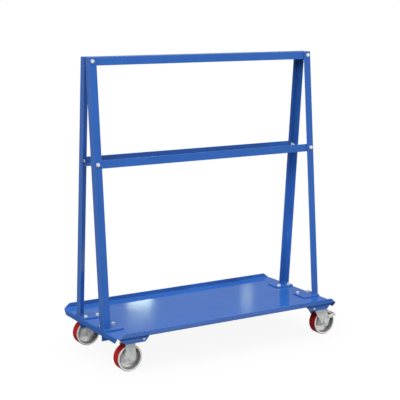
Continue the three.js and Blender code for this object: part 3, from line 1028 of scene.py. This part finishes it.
@dataclass
class Rack:
    """Legs, rails and foot plates of angle iron and plate, with their bolts and welds."""

    shop: Workshop
    angle_width: float = 38 * MM
    angle_thickness: float = 4 * MM
    lean_slope: float = 0.08498
    foot_height: float = 184.638 * MM
    foot_heel: float = 149 * MM
    rail_heights: tuple[tuple[str, float], ...] = (("mid", 946 * MM), ("top", 1413.07 * MM))
    rail_bolt_x: float = 601 * MM
    rail_bolt_grip: float = 8.286 * MM
    rail_bolt: BoltSizes = BoltSizes(
        head=FastenerSizes(
            corner_radius=8.4 * MM, height=6.5 * MM, washer_radius=9.4 * MM, washer_thickness=2 * MM,
            shank_radius=5 * MM, shank_depth=8 * MM),
        nut=FastenerSizes(
            corner_radius=8.4 * MM, height=7 * MM, washer_radius=8 * MM, washer_thickness=0.4 * MM,
            shank_radius=4.6 * MM, shank_depth=1 * MM, tail_length=12 * MM),
        seed=31)
    foot_bolt_x: tuple[float, float] = (536 * MM, 598 * MM)
    foot_bolt_y: float = 86 * MM
    foot_bolt: BoltSizes = BoltSizes(
        head=FastenerSizes(
            corner_radius=8.4 * MM, height=6.5 * MM, washer_radius=9 * MM, washer_thickness=2 * MM,
            shank_radius=5 * MM, shank_depth=13 * MM),
        nut=FastenerSizes(
            corner_radius=9.5 * MM, height=8 * MM, washer_radius=11 * MM, washer_thickness=1.6 * MM,
            shank_radius=5 * MM, shank_depth=1 * MM, tail_length=5 * MM),
        seed=41)
    stringer_sheet: float = 3 * MM
    bead_radius: float = 2.0 * MM
    bead_margin: float = 3 * MM
    bead_seed: int = 51

    def build(self) -> None:
        """Makes and dresses every piece."""
        nodes = [f"{part}_{corner.word}" for corner in CORNERS for part in ("leg", "foot_plate")]
        nodes += [f"{level}_rail_{side.word}" for side in Side for level, _ in self.rail_heights]
        for node in nodes:
            self.shop.round_off(node, FRAME_BODY, self.shop.finishes.coat)
        self.rail_bolts()
        self.foot_bolts()
        self.welds()

    def rail_bolts(self) -> None:
        """Bolts that hold the rails to the legs, head outside and nut inside."""
        lean = math.atan(self.lean_slope)
        heads: list[Pair] = []
        nuts: list[Pair] = []
        nodes: list[str] = []
        for level, height in self.rail_heights:
            heel = self.foot_heel - (height - self.foot_height) * self.lean_slope
            for corner in CORNERS:
                side = corner.side.value
                out = Vector((0.0, side * math.cos(lean), math.sin(lean)))
                x = deck_middle() + corner.end.value * self.rail_bolt_x
                seat = Vector((x, side * heel, height))
                heads.append((seat, out))
                nuts.append((seat - out * self.rail_bolt_grip, -out))
                nodes.append(f"{level}_bolt_{corner.word}")
        self.shop.bolt("rail_bolts", FRAME_BODY, (heads, nuts), self.rail_bolt, tuple(nodes))

    def foot_bolts(self) -> None:
        """Bolts through the foot plates, the deck and the stringers."""
        heads: list[Pair] = []
        nuts: list[Pair] = []
        for corner in CORNERS:
            plate_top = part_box(f"foot_plate_{corner.word}")[1].z
            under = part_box(f"stringer_{corner.side.word}")[1].z - self.stringer_sheet
            y = corner.side.value * self.foot_bolt_y
            for offset in self.foot_bolt_x:
                x = deck_middle() + corner.end.value * offset
                heads.append((Vector((x, y, plate_top)), UP))
                nuts.append((Vector((x, y, under)), -UP))
        self.shop.bolt("foot_bolts", FRAME_BODY, (heads, nuts), self.foot_bolt)

    def welds(self) -> None:
        """Beads that join the legs to their foot plates."""
        paths: list[Pair] = []
        for corner in CORNERS:
            low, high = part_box(f"leg_{corner.word}")
            plate_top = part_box(f"foot_plate_{corner.word}")[1].z
            side, end = corner.side.value, corner.end.value
            end_x = corner.end.outer(low.x, high.x)
            start_x = end_x - end * self.bead_margin
            face_x = end_x - end * self.angle_thickness
            inner_x = end_x - end * (self.angle_width - self.bead_margin)
            heel_y = side * self.foot_heel
            wall_y = heel_y - side * self.angle_thickness
            tip_y = heel_y - side * (self.angle_width - self.bead_margin)
            for first, last in (
                ((start_x, heel_y), (inner_x, heel_y)),
                ((face_x, wall_y), (face_x, tip_y)),
                ((face_x, wall_y), (inner_x, wall_y)),
            ):
                paths.append((Vector((*first, plate_top)), Vector((*last, plate_top))))
        self.shop.weld("foot_welds", paths, self.bead_radius, self.bead_seed)


@dataclass
class Wheel:
    """One wheel: cast core, bonded tread, bearing and grease fitting."""

    shop: Workshop
    corner: str
    fitting_angle: float
    width: float = 51 * MM
    tread_thickness: float = 3.5 * MM
    tread_rounding: float = 1 * MM
    rim_edge: float = 3 * MM
    rim_edge_drop: float = 1.2 * MM
    rim_chamfer: float = 2.4 * MM
    rim_thickness: float = 5 * MM
    rim_flare: float = 2.5 * MM
    web_thickness: float = 9 * MM
    fillet: float = 4 * MM
    hub_radius: float = 19 * MM
    hub_length: float = 54 * MM
    bore_radius: float = 10.7 * MM
    bond_gap: float = 0.1 * MM
    side_gap: float = 0.3 * MM
    edge: float = 1.0 * MM
    # Share of the painted shade on the rim's outer crest
    edge_shade: float = 0.45
    segments: int = 96
    tread_steps: int = 4
    fillet_steps: int = 5
    mouth_step: float = 0.1 * MM
    fitting_sink: float = 2 * MM
    fitting_offset: float = 17 * MM
    fitting_segments: int = 12
    centre: Vector = field(init=False)

    def __post_init__(self) -> None:
        """Takes the middle of the wheel from its tread."""
        low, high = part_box(f"{self.corner}_tread")
        self.centre = (low + high) / 2

    @property
    def radius(self) -> float:
        """The rolling radius, from the axle to the floor."""
        return self.centre.z

    def build(self) -> None:
        """Makes and dresses every piece."""
        finishes = self.shop.finishes
        body = f"wheel_{self.corner}"
        tread = link_piece(f"tread_{self.corner}", self.tread_mesh())
        settle(tread, body, finishes.tread, (f"{self.corner}_tread",))
        core = link_piece(f"core_{self.corner}", self.core_mesh())
        settle(core, body, finishes.core, (f"{self.corner}_wheel_core",))
        paint(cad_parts[f"{self.corner}_bearing"], finishes.dark)
        fitting = link_piece(f"grease_fitting_{self.corner}", self.fitting_mesh())
        settle(fitting, body, finishes.zinc)

    def tread_mesh(self) -> Mesh:
        """The tread in the rim's groove, with rounded edges.

        Returns:
            Its mesh, in place.
        """
        half = self.width / 2 - self.rim_edge - self.side_gap
        bond = self.radius - self.tread_thickness
        corner = (self.radius - self.tread_rounding, -half + self.tread_rounding)
        lower = [(bond, -half), *arc(corner, self.tread_rounding, start=-90, end=0, steps=self.tread_steps)]
        return turned_mesh(f"tread_{self.corner}", mirrored(lower), self.centre, self.segments)

    def core_mesh(self) -> Mesh:
        """The core: deep grooved rim, thin web in the middle plane and long hub, with soft cast corners and
        painted shade on the rim's inner side and outer crest.

        Returns:
            Its mesh, in place.
        """
        half = self.width / 2
        groove = half - self.rim_edge
        crest = self.radius - self.rim_edge_drop
        shoulder = crest - self.rim_chamfer
        web = self.web_thickness / 2
        hub = self.hub_length / 2
        rim = self.radius - self.tread_thickness - self.bond_gap
        mouth = rim - self.rim_thickness
        throat = mouth - self.rim_flare
        hub_fillet = (self.hub_radius + self.fillet, -web - self.fillet)
        rim_fillet = (throat - self.fillet, -web - self.fillet)
        lower = [
            (self.bore_radius, -hub), (self.hub_radius - self.edge, -hub),
            (self.hub_radius, -hub + self.edge),
            *arc(hub_fillet, self.fillet, start=180, end=90, steps=self.fillet_steps),
            *arc(rim_fillet, self.fillet, start=90, end=0, steps=self.fillet_steps),
            (mouth - self.mouth_step, -half + self.edge), (mouth + self.edge, -half),
            (shoulder, -half), (crest, -half + self.rim_chamfer), (crest, -groove), (rim, -groove)]
        mesh = turned_mesh(f"core_{self.corner}", mirrored(lower), self.centre, self.segments)
        # Painted shade: full on the rim's inner side, a lighter share on the outer crest that faces away from
        # the light
        painted_rim_shade = mesh.attributes.new(PAINTED_SHADE_ATTRIBUTE, "FLOAT", "FACE")
        for face, item in zip(mesh.polygons, painted_rim_shade.data):
            arm = face.center - self.centre
            reach = math.hypot(arm.x, arm.z)
            if throat - self.fillet < reach < mouth and abs(arm.y) > web:
                item.value = 1.0
            elif reach > shoulder:
                item.value = self.edge_shade
        return mesh

    def fitting_mesh(self) -> Mesh:
        """A grease fitting that stands out of the hub towards the outer side.

        Returns:
            Its mesh, in place.
        """
        profile = [(radius * MM, station * MM) for radius, station in GREASE_FITTING]
        mesh = turned_mesh(f"grease_fitting_{self.corner}", profile, Vector(), self.fitting_segments)
        offset = math.copysign(self.fitting_offset, self.centre.y)
        stand = Matrix.Rotation(math.pi / 2, 4, "X")
        lift = Matrix.Translation((0.0, offset, self.hub_radius - self.fitting_sink))
        swing = Matrix.Rotation(math.radians(self.fitting_angle), 4, "Y")
        mesh.transform(Matrix.Translation(self.centre) @ swing @ lift @ stand)
        return mesh


@dataclass
class Caster:
    """One caster under a corner of the deck, with its wheel, axle bolt and plate nuts."""

    shop: Workshop
    corner: Corner
    fitting_angle: float
    fork_outer: float = 33 * MM
    axle_bolt: BoltSizes = BoltSizes(
        head=FastenerSizes(
            corner_radius=11 * MM, height=7.5 * MM, washer_radius=11.5 * MM, washer_thickness=1 * MM,
            shank_radius=6 * MM, shank_depth=34 * MM),
        nut=FastenerSizes(
            corner_radius=11 * MM, height=7.5 * MM, washer_radius=11.5 * MM, washer_thickness=1 * MM,
            shank_radius=6 * MM, shank_depth=34 * MM, tail_length=2.6 * MM),
        seed=61)
    plate_sheet: float = 6 * MM
    plate_bolt_x: float = 38 * MM
    plate_bolt_y: float = 45 * MM
    plate_nut: FastenerSizes = FastenerSizes(
        corner_radius=9.2 * MM, height=8 * MM, washer_radius=10.5 * MM, washer_thickness=1.6 * MM,
        shank_radius=4.9 * MM, shank_depth=6 * MM, tail_length=3 * MM)
    plate_seed: int = 71

    @property
    def kind(self) -> CasterKind:
        """Rigid at the left end, swivel at the right."""
        return CasterKind.RIGID if self.corner.end is End.LEFT else CasterKind.SWIVEL

    @property
    def fork_body(self) -> str:
        """The body that carries the fork and the axle."""
        return FRAME_BODY if self.kind is CasterKind.RIGID else f"swivel_{self.corner.side.word}"

    def build(self) -> None:
        """Makes and dresses every piece."""
        zinc = self.shop.finishes.zinc
        word = self.corner.word
        self.shop.round_off(f"{word}_fork", self.fork_body, zinc)
        if self.kind is CasterKind.SWIVEL:
            self.shop.round_off(f"{word}_top_plate", FRAME_BODY, zinc)
            self.shop.round_off(f"{word}_brake_pedal", f"brake_{self.corner.side.word}", zinc)
            for part in ("kingpin", "ball_race"):
                paint(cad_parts[f"{word}_{part}"], zinc)
        wheel = Wheel(self.shop, word, self.fitting_angle)
        wheel.build()
        self.axle(wheel.centre)
        self.plate_nuts()

    def axle(self, centre: Vector) -> None:
        """The axle bolt, head on the outer side and nut on the inner one.

        Args:
            centre: the middle of the wheel.
        """
        out, word = self.corner.out, self.corner.word
        ends = ([(centre + out * self.fork_outer, out)], [(centre - out * self.fork_outer, -out)])
        self.shop.bolt(f"axle_bolt_{word}", self.fork_body, ends, self.axle_bolt, (f"{word}_axle",))

    def plate_nuts(self) -> None:
        """The four nuts on the studs that hold the caster's plate to its mount."""
        word = self.corner.word
        low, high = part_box(f"{word}_fork" if self.kind is CasterKind.RIGID else f"{word}_top_plate")
        middle = (low + high) / 2
        seat = high.z - self.plate_sheet
        xs = [middle.x + sign * self.plate_bolt_x for sign in (-1, 1)]
        ys = [middle.y + sign * self.plate_bolt_y for sign in (-1, 1)]
        spots = [(Vector((x, y, seat)), -UP) for x in xs for y in ys]
        piece = self.shop.fasten(f"plate_nuts_{word}", spots, self.plate_nut, self.plate_seed)
        settle(piece, FRAME_BODY, self.shop.finishes.zinc)


@dataclass(frozen=True)
class SoftBox:
    """One area light aimed at a point."""

    name: str
    place: Point
    target: Point
    width: float
    height: float
    power: float
    spread: float = 180.0
    mirrored: bool = True
    colour: Colour = WHITE

    def build(self) -> None:
        """Makes the light, unseen by the camera."""
        light = bpy.data.lights.new(self.name, "AREA")
        light.shape = "RECTANGLE"
        light.size, light.size_y, light.energy = self.width, self.height, self.power
        light.spread, light.color = math.radians(self.spread), self.colour
        lamp = bpy.data.objects.new(self.name, light)
        aim = Vector(self.target) - Vector(self.place)
        lamp.matrix_world = Matrix.Translation(self.place) @ aim.to_track_quat("-Z", "Y").to_matrix().to_4x4()
        lamp.visible_camera = False
        lamp.visible_glossy = self.mirrored
        bpy.context.scene.collection.objects.link(lamp)


@dataclass
class Studio:
    """White floor, soft light and the camera."""

    camera_place: Point = (-2.71686, -4.491, 1.667)
    camera_azimuth: float = -30.91
    camera_elevation: float = 10.30
    camera_reach: float = 200.0
    lens: float = 96.95
    sensor: float = 36.0
    floor_half: float = 40.0
    floor_drop: float = 0.2 * MM
    floor_white: float = 0.92
    floor_clear: Range = (1.3, 3.2)
    floor_seen: float = 0.50
    floor_bounce: float = 0.28
    mirror_ahead: float = 1.10
    mirror_beside: float = 0.12
    mirror_far: float = 0.30
    mirror_reach: Point = (1.1, 0.95, 1.0)
    mirror_front: Range = (-0.66, -0.80)
    mirror_edge: Range = (1.0, 1.25)
    ambient: float = 0.25
    mirrored_ambient: float = 0.31
    lights: tuple[SoftBox, ...] = (
        SoftBox(
            "key", place=(11.4, -8.2, 0.6), target=(0.0, 0.0, 0.4),
            width=1.3, height=1.3, power=1050.0),
        SoftBox(
            "front_fill", place=(-5.2, -5.0, 4.4), target=(0.0, 0.0, 0.6),
            width=3.0, height=2.0, power=300.0),
        SoftBox(
            "left_fill", place=(-5.6, -1.0, 2.6), target=(0.0, 0.0, 0.5),
            width=3.0, height=3.0, power=95.0),
        SoftBox(
            "top", place=(0.0, 0.0, 6.0), target=(0.0, 0.0, 0.2),
            width=11.0, height=11.0, power=1200.0),
        SoftBox(
            "leg_fill", place=(-0.20, -0.80, 0.52), target=(0.57, 0.20, 0.52),
            width=0.12, height=0.5, power=0.34, spread=26.0, mirrored=False),
        SoftBox(
            "lamp_left", place=(1.93, 4.39, 1.44), target=(-0.29, 0.13, 0.178),
            width=0.22, height=0.04, power=0.76, colour=LAMP_TINT),
        SoftBox(
            "lamp_right", place=(2.92, 4.03, 1.51), target=(0.26, 0.01, 0.178),
            width=0.10, height=0.22, power=0.085, colour=LAMP_TINT),
    )

    def build(self) -> None:
        """Makes the world, the floor, the lights and the camera."""
        bpy.context.scene.view_settings.view_transform = "Standard"
        self.world()
        self.floor()
        for light in self.lights:
            light.build()
        self.camera()

    def seen_directly(self, graph: Graph) -> tuple[Socket, Socket]:
        """Which rays see the background as such.

        Args:
            graph: the tree to read them in.

        Returns:
            Camera and transmission rays together, and glossy rays.
        """
        path = graph.add("ShaderNodeLightPath").outputs
        clear = graph.math("MAXIMUM", path["Is Camera Ray"], path["Is Transmission Ray"])
        return clear, path["Is Glossy Ray"]

    def world(self) -> None:
        """A white background with an even, softer light of its own."""
        world = bpy.data.worlds.new("studio")
        world.use_nodes = True
        bpy.context.scene.world = world
        world.node_tree.nodes.clear()
        graph = Graph(world.node_tree)
        clear, glossy = self.seen_directly(graph)
        kind = "ShaderNodeBackground"
        soft = graph.light(kind, WHITE, self.ambient)
        around = graph.mix(glossy, soft, graph.light(kind, COOL_WHITE, self.mirrored_ambient))
        seen = graph.mix(clear, around, graph.light(kind, WHITE, 1.0))
        graph.add("ShaderNodeOutputWorld", {"Surface": seen})

    def floor(self) -> None:
        """A wide pale floor that keeps a faint shadow."""
        half, level = self.floor_half, -self.floor_drop
        mesh = bpy.data.meshes.new("floor")
        corners = [(-half, -half, level), (half, -half, level), (half, half, level), (-half, half, level)]
        mesh.from_pydata(corners, [], [(0, 1, 2, 3)])
        material = bpy.data.materials.new("studio_floor")
        material.use_nodes = True
        material.node_tree.nodes.clear()
        graph = Graph(material.node_tree)
        clear, glossy = self.seen_directly(graph)
        place = graph.add("ShaderNodeTexCoord").outputs["Object"]
        shares = (self.floor_white, 1.0)
        share = graph.ranged(graph.length(place), self.floor_clear, shares, interpolation_type="SMOOTHSTEP")
        kind = "ShaderNodeEmission"
        bright = graph.mix(share, graph.matt(self.floor_seen), graph.light(kind, WHITE, 1.0))
        shown = graph.mix(clear, graph.matt(self.floor_bounce), bright)
        dim = graph.light(kind, COOL_WHITE, self.mirrored_floor(graph, place))
        graph.add("ShaderNodeOutputMaterial", {"Surface": graph.mix(glossy, shown, dim)})
        mesh.materials.append(material)
        link_piece("floor", mesh)

    def mirrored_floor(self, graph: Graph, place: Socket) -> Socket:
        """How bright the floor is in the cart's mirror images of it.

        Args:
            graph: the floor's tree.
            place: the floor's coordinates.

        Returns:
            Its strength, which differs ahead of the cart, beside it and far from it.
        """
        inputs = {0: place, 1: self.mirror_reach}
        spot = graph.add("ShaderNodeVectorMath", inputs, operation="DIVIDE").outputs[0]
        ahead = graph.add("ShaderNodeSeparateXYZ", {0: spot}).outputs["Y"]
        extra = (self.mirror_beside - self.mirror_far, self.mirror_ahead - self.mirror_far)
        inner = graph.ranged(ahead, self.mirror_front, extra, interpolation_type="SMOOTHSTEP")
        shares = (inner, 0.0)
        outer = graph.ranged(graph.length(spot), self.mirror_edge, shares, interpolation_type="SMOOTHSTEP")
        return graph.plus(outer, self.mirror_far)

    def camera(self) -> None:
        """The camera at the photograph's viewing angle."""
        azimuth, elevation = math.radians(self.camera_azimuth), math.radians(self.camera_elevation)
        level = math.cos(elevation)
        back = Vector((math.sin(azimuth) * level, -math.cos(azimuth) * level, math.sin(elevation)))
        right = Vector((math.cos(azimuth), math.sin(azimuth), 0.0))
        turn = Matrix((right, back.cross(right), back)).transposed().to_4x4()
        data = bpy.data.cameras.new("camera")
        data.lens, data.sensor_width, data.clip_end = self.lens, self.sensor, self.camera_reach
        camera = bpy.data.objects.new("camera", data)
        camera.matrix_world = Matrix.Translation(self.camera_place) @ turn
        bpy.context.scene.collection.objects.link(camera)
        bpy.context.scene.camera = camera


def main() -> None:
    """Builds the cart's sub-assemblies, then the studio."""
    logging.basicConfig(level=logging.INFO, format="%(message)s")
    shop = Workshop()
    Deck(shop).build()
    Rack(shop).build()
    for corner, angle in FITTING_ANGLES.items():
        Caster(shop, corner, angle).build()
    Studio().build()


if __name__ == "__main__":
    main()
